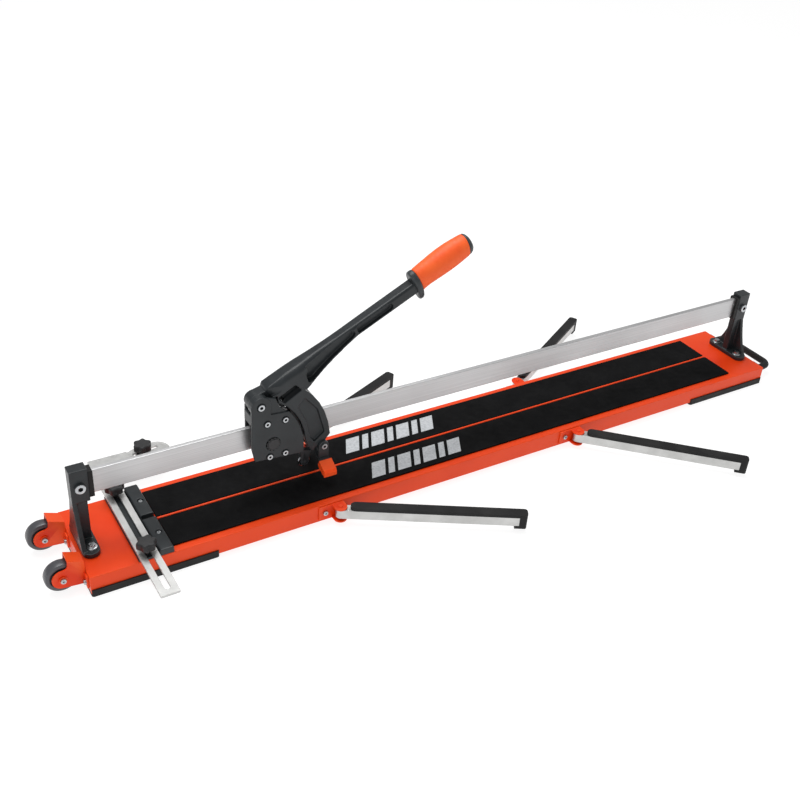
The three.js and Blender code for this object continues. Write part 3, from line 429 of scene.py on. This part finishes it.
zinc = zinc_plate()


def turned(name, profile, steps=32):
    """A piece turned about Z: the profile's (radius, height) points swept once round."""
    mesh = bpy.data.meshes.new(name)
    mesh.from_pydata([(r, 0, z) for r, z in profile],
                     [(i, i + 1) for i in range(len(profile) - 1)], [])
    piece = bpy.data.objects.new(name, mesh)
    scene.collection.objects.link(piece)
    only(piece)
    bpy.ops.object.mode_set(mode="EDIT")
    bpy.ops.mesh.select_all(action="SELECT")
    bpy.ops.mesh.spin(steps=steps, angle=math.tau, center=(0, 0, 0), axis=(0, 0, 1))
    bpy.ops.mesh.select_all(action="SELECT")
    bpy.ops.mesh.remove_doubles(threshold=1e-6)
    bpy.ops.mesh.normals_make_consistent(inside=False)
    bpy.ops.object.mode_set(mode="OBJECT")
    return piece


def carve(piece, cutter, operation="DIFFERENCE"):
    """Cuts, joins or keeps the overlap of a piece with another, which is used up."""
    apply_new(piece, "BOOLEAN", object=cutter, operation=operation, solver="EXACT")
    bpy.data.objects.remove(cutter)
    return piece


def prism(name, sides, radius, low, high):
    """A block with so many sides about Z."""
    bpy.ops.mesh.primitive_cylinder_add(vertices=sides, radius=radius, depth=high - low,
                                        location=(0, 0, (low + high) / 2))
    piece = bpy.context.object
    piece.name = name
    settle(piece)
    return piece


def pointing(direction):
    """The turn that takes +Z to a direction."""
    return Vector(direction).to_track_quat("Z", "Y").to_matrix().to_4x4()


def placed(model, name, place, direction=(0, 0, 1), scale=1.0):
    """A copy of a model made about +Z, turned, scaled and put in its place."""
    piece = bpy.data.objects.new(name, model.data.copy())
    scene.collection.objects.link(piece)
    piece.data.transform(Matrix.Translation(place) @ pointing(direction) @ Matrix.Scale(scale, 4))
    return piece


# a flanged hexagon bolt head, sized by its hexagon's radius of one
bolt_flange = [(0, 0), (1.45, 0), (1.5, 0.1), (1.4, 0.22), (0.9, 0.3), (0, 0.3)]
bolt_model = turned("bolt_model", bolt_flange, 24)
bolt_hexagon = prism("bolt_hexagon", 6, 1.0, 0.2, 1.0)
round_edges(bolt_hexagon, 0.08, 2)
carve(bolt_model, bolt_hexagon, "UNION")
smooth(bolt_model, 35)

# a round socket head, sized by its radius of one
screw_model = turned("screw_model", [(0, 0), (1, 0), (1, 0.62), (0.86, 0.78), (0, 0.78)], 28)
carve(screw_model, prism("screw_socket", 6, 0.52, 0.3, 1.2))
smooth(screw_model, 35)

# painted shade: a near-black finish for the faces inside the sockets, where shade falls; its edges
# get a faint painted highlight
socket_painted_shade = cast_skin("socket_painted_shade", (0.010, 0.010, 0.012), (0.018, 0.018, 0.020),
                        (0.03, 0.03, 0.03), 0.5, 0.6)


def socketed(node, body, radius, depth, side=-1):
    """A CAD bolt's copy with a hexagon socket sunk into its head, with painted shade inside."""
    piece = copy_of(node)
    round_edges(piece, 0.0004)
    low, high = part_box(node)
    face_y = low.y if side < 0 else high.y
    centre = Vector(((low.x + high.x) / 2, face_y, (low.z + high.z) / 2))
    cutter = placed(prism("socket", 6, radius, -depth, depth), "socket_cut", centre, (0, side, 0))
    bpy.data.objects.remove(bpy.data.objects["socket"])
    carve(piece, cutter)
    smooth(piece)
    fit(piece, body, "zinc_plate", zinc, node)
    piece.data.materials.append(socket_painted_shade)
    # the faces inside the socket take the painted shade
    for face in piece.data.polygons:
        away = Vector((face.center.x - centre.x, 0, face.center.z - centre.z)).length
        sunk = abs(face.center.y - face_y)
        if away < radius and 0.0002 < sunk < depth * 1.1:
            face.material_index = 1
    return piece


post_flange_top = table_high.z + 0.0083
bolt_inset = 0.0105  # from the post's inner face
bolt_out = 0.028  # from the cutting line
for end in ("wheel_end", "handle_end"):
    low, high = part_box(f"post_{end}")
    bolt_x = high.x - bolt_inset if end == "wheel_end" else low.x + bolt_inset
    for side, y in (("near", -bolt_out), ("far", bolt_out)):
        bolt = placed(bolt_model, f"post_bolt_{end}_{side}", (bolt_x, y, post_flange_top),
                      scale=0.0055)
        fit(bolt, "base", "zinc_plate", zinc)
    socketed(f"rail_bolt_{end}", "base", 0.0040, 0.0030)

# ---------------------------------------------------------------- guide rail and bumpers
# A flat bar of bright steel, brushed along its length, on edge between the posts. A rubber
# bumper at each end stops the carriage.


def brushed_steel():
    finish, tree, shader, place = new_finish("brushed_steel", metallic=0.9)
    streak = noise(tree, place, 1, 5, (3, 900, 900))
    cloud = noise(tree, place, 9, 3)
    base = colour_steps(tree, streak, [(0.25, (0.50, 0.50, 0.505)), (0.75, (0.64, 0.64, 0.645))])
    tree.links.new(base, shader.inputs["Base Color"])
    tree.links.new(spread(tree, cloud, 0.36, 0.48), shader.inputs["Roughness"])
    raise_skin(tree, shader, [(streak, 0.0001, 0.35), (noise(tree, place, 24, 2), 0.0008, 0.06)])
    return finish


rail_steel = brushed_steel()
dress("guide_rail", 0.0008, "base", "rail_steel", rail_steel)
for end in ("wheel_end", "handle_end"):
    dress(f"bumper_{end}", 0.0012, "base", "black_rubber", black_rubber, 3)

# ---------------------------------------------------------------- carry handle
# A bent bar with a rubber sleeve and two fixing plates, which screws hold to the table's end
# wall.
dress("carry_handle", 0.0006, "base", "black_rubber", black_rubber)
handle_plate = table_high.x + 0.0033
for side, y in (("near", -0.062), ("far", 0.062)):
    for name, z in (("low", 0.0095), ("high", 0.0305)):
        screw = placed(screw_model, f"handle_screw_{side}_{name}", (handle_plate, y, z),
                       (1, 0, 0), 0.0027)
        fit(screw, "base", "zinc_plate", zinc)

# ---------------------------------------------------------------- transport wheels
# Grey moulded wheels with a rounded tread and a dished side, each in a bent steel bracket in
# the table's coat. They turn on an axle, and screws hold each bracket's ears to the table.


def moulded_wheel():
    finish, tree, shader, place = new_finish("moulded_wheel", coat=0.25, coat_roughness=0.18,
                                             specular=0.5)
    cloud = noise(tree, place, 60, 4)
    base = colour_steps(tree, cloud, [(0.3, (0.040, 0.040, 0.047)), (0.7, (0.058, 0.058, 0.066))])
    # painted highlight: the wheels turn lighter along their sharp edges
    tree.links.new(painted_edge_highlight(tree, base, (0.09, 0.09, 0.10)), shader.inputs["Base Color"])
    tree.links.new(spread(tree, noise(tree, place, 220, 3), 0.34, 0.48), shader.inputs["Roughness"])
    raise_skin(tree, shader, [(noise(tree, place, 1300, 2), 0.00012, 0.4)])
    return finish


wheel_grey = moulded_wheel()
for side in ("near", "far"):
    dress(f"caster_bracket_{side}", 0.0006, "base", "orange_paint", orange_paint)
    low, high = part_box(f"caster_wheel_{side}")
    centre = (low + high) / 2
    radius, half = (high.z - low.z) / 2, (high.y - low.y) / 2
    bore, boss, rim = 0.0045, 0.0085, radius - 0.0075
    half_profile = [(bore, half), (boss, half), (boss + 0.0008, half - 0.0006),
                    (boss + 0.0012, half - 0.0035), (rim - 0.0012, half - 0.0035),
                    (rim, half - 0.0008), (rim + 0.0012, half), (radius - 0.0035, half),
                    (radius - 0.0012, half - 0.0010), (radius - 0.0002, half - 0.0032),
                    (radius, 0.0)]
    lower_half = [(r, -z) for r, z in reversed(half_profile[:-1])]
    wheel = turned(f"wheel_{side}", half_profile + lower_half + [half_profile[0]], 64)
    wheel.data.transform(Matrix.Translation(centre) @ Matrix.Rotation(math.radians(90), 4, "X"))
    smooth(wheel, 40)
    fit(wheel, f"caster_{side}", "wheel_grey", wheel_grey, f"caster_wheel_{side}")
    cheek = half + 0.0057  # from the wheel's middle to the outside of the axle's head
    for name, toward in (("near", -1), ("far", 1)):
        at = (centre.x, centre.y + toward * cheek, centre.z)
        screw = placed(screw_model, f"axle_screw_{side}_{name}", at, (0, toward, 0), 0.0044)
        fit(screw, "base", "zinc_plate", zinc)
        at = (centre.x + 0.0302, centre.y + toward * 0.0192, centre.z - 0.0105)
        screw = placed(screw_model, f"ear_screw_{side}_{name}", at, (-1, 0, 0), 0.0042)
        fit(screw, "base", "zinc_plate", zinc)

# ---------------------------------------------------------------- fence
# A cast ledge across the table with two raised ruler parts, in the posts' dark coat. Recessed
# screws hold it to the table.
fence = cast(copy_of("fence_body"), 0.0009, 3)
fit(fence, "base", "dark_casting", dark_casting, "fence_body")
fence_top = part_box("fence_body")[1].z
for side, y in (("near", -0.042), ("far", 0.042)):
    screw = placed(screw_model, f"fence_screw_{side}", (0.020, y, fence_top - 0.0042),
                   scale=0.0034)
    fit(screw, "base", "zinc_plate", zinc)

# ---------------------------------------------------------------- measuring bar and stop
# Extruded aluminium bars, satin and lightly scratched: one slides across the fence in its slot,
# a short arm joins it to the slotted plate that turns as the angle stop.


def satin_aluminium():
    finish, tree, shader, place = new_finish("satin_aluminium", metallic=0.85)
    cloud = noise(tree, place, 26, 4)
    base = colour_steps(tree, cloud, [(0.3, (0.50, 0.50, 0.49)), (0.7, (0.62, 0.62, 0.61))])
    tree.links.new(base, shader.inputs["Base Color"])
    tree.links.new(spread(tree, noise(tree, place, 140, 4), 0.36, 0.52), shader.inputs["Roughness"])
    draw = noise(tree, place, 420, 3)
    raise_skin(tree, shader, [(draw, 0.00012, 0.25)])
    return finish


aluminium = satin_aluminium()
dress("measuring_bar", 0.0004, "measuring_slide", "aluminium", aluminium)
dress("cross_arm", 0.0004, "measuring_slide", "aluminium", aluminium)
dress("angle_plate", 0.0004, "angle_swing", "aluminium", aluminium)

# ---------------------------------------------------------------- clamp knobs and stop block
# Six-lobed knobs that clamp the bar and the stop, and the square block that slides in the angle
# plate's slot. All are moulded in black plastic with a fine spark texture.


def black_moulding():
    finish, tree, shader, place = new_finish("black_moulding", specular=0.4)
    cloud = noise(tree, place, 80, 3)
    base = colour_steps(tree, cloud, [(0.3, (0.013, 0.013, 0.014)), (0.7, (0.020, 0.020, 0.021))])
    # painted highlight: the plastic turns lighter along its sharp edges
    tree.links.new(painted_edge_highlight(tree, base, (0.045, 0.045, 0.048)), shader.inputs["Base Color"])
    tree.links.new(spread(tree, noise(tree, place, 400, 2), 0.42, 0.58), shader.inputs["Roughness"])
    raise_skin(tree, shader, [(noise(tree, place, 1600, 2), 0.00012, 0.5)])
    return finish


black_plastic = black_moulding()
for side in ("near", "far"):
    dress(f"clamp_knob_{side}", 0.0006, f"clamp_{side}", "black_plastic", black_plastic)
dress("stop_knob", 0.0006, "stop_screw", "black_plastic", black_plastic)
dress("stop_block", 0.0006, "tile_stop", "black_plastic", black_plastic)

# ---------------------------------------------------------------- support arms
# Four aluminium arms with a rubber strip and end cap, each pinned in a bent steel bracket
# screwed to the table's skirt.
for arm in ("near_left", "near_right", "far_left", "far_right"):
    dress(f"arm_bracket_{arm}", 0.0005, "base", "orange_paint", orange_paint)
    dress(f"arm_bar_{arm}", 0.0006, f"arm_{arm}", "aluminium", aluminium)
    dress(f"arm_pad_{arm}", 0.0010, f"arm_{arm}", "black_rubber", black_rubber, 3)
    low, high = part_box(f"arm_bracket_{arm}")
    outward = -1 if arm.startswith("near") else 1
    plate_y = outward * (abs(table_high.y) + 0.0028)
    screw = placed(screw_model, f"arm_bracket_screw_{arm}",
                   (low.x + 0.011, plate_y, (low.z + high.z) / 2), (0, outward, 0), 0.0042)
    fit(screw, "base", "zinc_plate", zinc)

# ---------------------------------------------------------------- carriage
# Two cast plates straddle the rail on ball-bearing rollers. The near one rises in a boss round
# the lever's pivot; a black guide, cap and adjuster take up the play.
pivot = Vector(next(j["pos_m"] for j in frame["joints"] if j["name"] == "lever_pivot"))
about_pivot = Matrix.Translation(pivot)


def slab(name, outline, low, high, where, corner=0.0):
    """A flat block: an outline in (x, z), millimetres, its corners rounded, pulled along Y."""
    bpy.ops.mesh.primitive_circle_add(vertices=len(outline), fill_type="NGON")
    piece = bpy.context.object
    piece.name = name
    for vertex, (x, z) in zip(piece.data.vertices, outline):
        vertex.co = (x / 1000, low / 1000, z / 1000)
    bpy.ops.object.mode_set(mode="EDIT")
    bpy.ops.mesh.select_all(action="SELECT")
    if corner:
        bpy.ops.mesh.bevel(affect="VERTICES", offset=corner / 1000, segments=4)
        bpy.ops.mesh.select_all(action="SELECT")
    bpy.ops.mesh.extrude_region_move(TRANSFORM_OT_translate={"value": (0, (high - low) / 1000, 0)})
    bpy.ops.mesh.select_all(action="SELECT")
    bpy.ops.mesh.normals_make_consistent(inside=False)
    bpy.ops.object.mode_set(mode="OBJECT")
    piece.data.transform(where)
    return piece


# the sunk web between the near plate's boss and the lever's hood
sunk_web = slab("sunk_web", [(6, 8), (12, 13), (26, 8), (31, -7), (49, -25), (57, -34), (48, -40),
                             (22, -24), (12, -12)], -21.5, -18.1, about_pivot)
near_plate = carve(copy_of("carriage_plate_near"), sunk_web, "UNION")
for side, plate in (("near", near_plate), ("far", copy_of("carriage_plate_far"))):
    cast(plate, 0.0007, 3)
    fit(plate, "carriage", "dark_casting", dark_casting, f"carriage_plate_{side}")
dress("rail_saddle", 0.0006, "carriage", "black_plastic", black_plastic)

cap_low, cap_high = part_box("adjuster_cap")
cap_centre, cap_radius = (cap_low + cap_high) / 2, (cap_high.x - cap_low.x) / 2
cap = copy_of("adjuster_cap")
round_edges(cap, 0.0005)
notch_count = 12
notch_radius = 0.0018
notches = []
for i in range(notch_count):
    turn = math.tau * i / notch_count
    at = cap_centre + Vector((math.cos(turn), 0, math.sin(turn))) * (cap_radius + 0.0004)
    notch = prism(f"notch_{i}", 10, notch_radius, -0.01, 0.01)
    notch.data.transform(Matrix.Translation(at) @ pointing((0, -1, 0)))
    notches.append(notch)
carve(cap, join_all("notches", notches))
smooth(cap)
fit(cap, "carriage", "black_plastic", black_plastic, "adjuster_cap")
for row in ("upper", "lower"):
    for end in ("rear", "front"):
        dress(f"roller_{row}_{end}", 0.0005, f"roller_{row}_{end}", "rail_steel", rail_steel)
        socketed(f"roller_pin_{row}_{end}", "carriage", 0.0024, 0.0030)
socketed("pivot_bolt", "carriage", 0.0030, 0.0030)
dress("return_spring", 0, "carriage", "rail_steel", rail_steel)

# ---------------------------------------------------------------- lever
# One aluminium casting: a smooth hood over the pivot runs into a beam with hollowed sides and
# forks down past the rail to the breaker. It has the posts' dark coat.
lever_angle = math.radians(26.7)
along_beam = about_pivot @ Matrix.Rotation(-lever_angle, 4, "Y")


def lofted(name, rings, where):
    """A solid drawn through rings of (x, y, z) points in millimetres, closed at both ends."""
    count = len(rings[0])
    points = [tuple(value / 1000 for value in point) for ring in rings for point in ring]
    faces = [(i * count + j, i * count + (j + 1) % count,
              (i + 1) * count + (j + 1) % count, (i + 1) * count + j)
             for i in range(len(rings) - 1) for j in range(count)]
    last = (len(rings) - 1) * count
    faces += [tuple(range(count)), tuple(range(last, last + count))]
    mesh = bpy.data.meshes.new(name)
    mesh.from_pydata(points, [], faces)
    mesh.transform(where)
    piece = bpy.data.objects.new(name, mesh)
    scene.collection.objects.link(piece)
    only(piece)
    bpy.ops.object.mode_set(mode="EDIT")
    bpy.ops.mesh.select_all(action="SELECT")
    bpy.ops.mesh.normals_make_consistent(inside=False)
    bpy.ops.object.mode_set(mode="OBJECT")
    return piece


def arch(x, half, top, corner, low=-160, steps=7):
    """A ring across the beam: straight sides and a top with rounded shoulders."""
    right = [(x, half - corner + corner * math.cos(a), top - corner + corner * math.sin(a))
             for a in (math.pi / 2 * i / steps for i in range(steps + 1))]
    left = [(x, -y, z) for _, y, z in reversed(right)]
    return [(x, half, low)] + right + left + [(x, -half, low)]


# the rounded envelope that the hood and the beam are dressed down to
crown = [(-24, 17.6, 17, 12), (20, 17.6, 17, 12), (28, 17.6, 16.2, 12), (60, 17.6, 16.2, 12),
         (82, 17.6, 15.4, 12), (100, 15.1, 15, 10.5), (118, 13.1, 14.5, 9), (141, 11.7, 13.6, 7.5),
         (165, 11.1, 13.1, 6.5), (230, 11.1, 13.1, 5.5), (317, 11.1, 13.1, 5)]
envelope = lofted("envelope", [arch(*station) for station in crown], along_beam)
beyond_beam = lofted("beyond_beam", [arch(x, 30, 40, 4) for x in (316, 450)], along_beam)
carve(envelope, beyond_beam, "UNION")
lever = carve(copy_of("lever_body"), envelope, "INTERSECT")
pocket_head = [(84, -21), (86, -6), (98, 4), (122, 9), (150, 10), (182, 10), (188, 5), (188, -1),
               (182, -4.5), (160, -8.5), (135, -13), (110, -19), (95, -24)]
pocket_beam = [(194, -4), (192.5, 3), (197, 9.8), (257, 9.8), (263, 5), (263, 0), (257, -4)]
fork_window = [(31, 4.5), (61, 21), (73, 9.5), (43, -8)]
fork_panel = [(78, -8), (101, -35), (115, -83), (96, -98), (88, -86), (80, -52), (66, -22)]
# on each side: the hollows in the beam and fork, then the shell cut back round the pivot
for side in (-1, 1):
    for outline, shallow, deep, where, corner in (
            (pocket_head, 4, 30, along_beam, 2.4), (pocket_beam, 4.5, 30, along_beam, 2.4),
            (fork_window, 5, 30, about_pivot, 2), (fork_panel, 12.5, 30, about_pivot, 3)):
        low, high = sorted((side * shallow, side * deep))
        carve(lever, slab("hollow", outline, low, high, where, corner))
    flare = [(-40, 40), (60, 40), (60, 18.2), (44, 18.2), (18, 10.3), (-40, 10.3)]
    wedge = [[(x, side * y, z) for x, y in flare] for z in (-1.5, 40)]
    carve(lever, lofted("wedge", wedge, along_beam))
cast(lever, 0.0008, 5)
fit(lever, "lever", "dark_casting", dark_casting, "lever_body")

# ---------------------------------------------------------------- scoring wheel and breaker
# The wheel is ground carbide in a slim steel holder. Behind it hangs the breaker foot, a bent
# strip with an orange pad on each side that presses the tile down.


def ground_carbide():
    finish, tree, shader, place = new_finish("ground_carbide", metallic=1.0)
    ring = noise(tree, place, 700, 3)
    base = colour_steps(tree, ring, [(0.3, (0.26, 0.27, 0.29)), (0.7, (0.38, 0.39, 0.41))])
    tree.links.new(base, shader.inputs["Base Color"])
    tree.links.new(spread(tree, ring, 0.2, 0.34), shader.inputs["Roughness"])
    raise_skin(tree, shader, [(ring, 0.00005, 0.3)])
    return finish


carbide = ground_carbide()
dress("score_holder", 0.0004, "lever", "dark_casting", dark_casting)
dress("scoring_wheel", 0, "scorer", "carbide", carbide)
socketed("foot_bolt", "lever", 0.0024, 0.0030)
dress("breaker_foot", 0.0005, "breaker", "dark_casting", dark_casting)


def moulded_nylon():
    finish, tree, shader, place = new_finish("moulded_nylon", specular=0.3)
    cloud = noise(tree, place, 70, 3)
    base = colour_steps(tree, cloud, [(0.3, (0.92, 0.060, 0.002)), (0.7, (0.98, 0.082, 0.004))])
    # painted highlight: the nylon turns lighter along its sharp edges
    tree.links.new(painted_edge_highlight(tree, base, (0.98, 0.14, 0.03)), shader.inputs["Base Color"])
    tree.links.new(spread(tree, noise(tree, place, 300, 2), 0.42, 0.56), shader.inputs["Roughness"])
    raise_skin(tree, shader, [(noise(tree, place, 1200, 2), 0.00012, 0.4)])
    return finish


orange_nylon = moulded_nylon()
for side in ("near", "far"):
    dress(f"breaker_pad_{side}", 0.0012, "breaker", "orange_nylon", orange_nylon, 3)

# ---------------------------------------------------------------- grip
# A soft orange sleeve pushed on the lever's end, between a black collar that guards the fingers
# and a black rounded cap.


def soft_grip():
    finish, tree, shader, place = new_finish("soft_grip", specular=0.4)
    cloud = noise(tree, place, 50, 4)
    base = colour_steps(tree, cloud, [(0.3, (0.90, 0.100, 0.012)), (0.7, (0.96, 0.130, 0.018))])
    tree.links.new(base, shader.inputs["Base Color"])
    tree.links.new(spread(tree, noise(tree, place, 240, 3), 0.45, 0.6), shader.inputs["Roughness"])
    raise_skin(tree, shader, [(noise(tree, place, 1000, 2), 0.00015, 0.45)])
    return finish


orange_grip = soft_grip()


def oval(x, top, low, half, taper=0.0, tilt=0.0, steps=48):
    """A ring across the grip, its foot drawn in by the taper and its top pushed on by the tilt."""
    middle, reach = (top + low) / 2, (top - low) / 2
    turns = [math.tau * i / steps for i in range(steps)]
    return [(x + tilt * math.cos(a), half * math.sin(a) * (1 + taper * math.cos(a)),
             middle + reach * math.cos(a)) for a in turns]


sleeve = lofted("grip_sleeve", [oval(*station) for station in (
    (319.5, 27, -16, 13, 0.15), (320, 28.2, -15, 14.5, 0.12), (323, 28.9, -13, 15.8, 0.08),
    (328, 29.2, -11, 17), (336, 29.6, -10, 18), (344, 30, -10, 18.8),
    (356, 31, -10.2, 19.8), (372, 31.8, -10.4, 20.6), (388, 31.6, -10.2, 20.4, 0, 1),
    (400, 30.6, -9.5, 19.6, 0, 2), (411, 29.4, -8.8, 18.8, 0, 3.4),
    (415.2, 28.6, -8.4, 18.3, 0, 4), (415.8, 27.6, -7.6, 17.5, 0, 4))], along_beam)
guard = lofted("grip_guard", [oval(*station) for station in (
    (308.8, 24.5, -20, 10.5, 0.25), (309.6, 27.5, -24.5, 14, 0.25),
    (311.5, 28.9, -27.5, 15.6, 0.25), (316, 29.2, -28, 16, 0.25),
    (318.6, 28.8, -26, 15.6, 0.25), (319.9, 27, -21, 14, 0.2))], along_beam)
cap = lofted("grip_cap", [oval(*station) for station in (
    (415.7, 26.5, -6.5, 16.5, 0, 4), (416.1, 28.2, -8, 17.9, 0, 4),
    (419.5, 27.8, -7.6, 17.6, 0, 3), (422.6, 26, -6, 16, 0, 1.6), (425, 23, -3, 13, 0, 0.7),
    (426.2, 19, 1, 9), (426.6, 14, 6, 4))], along_beam)
for piece in (sleeve, guard, cap):
    smooth(piece, 60)
fit(sleeve, "lever", "orange_grip", orange_grip, "grip")
for piece in (guard, cap):
    fit(piece, "lever", "dark_casting", dark_casting)

for model in (bolt_model, screw_model):
    bpy.data.objects.remove(model)
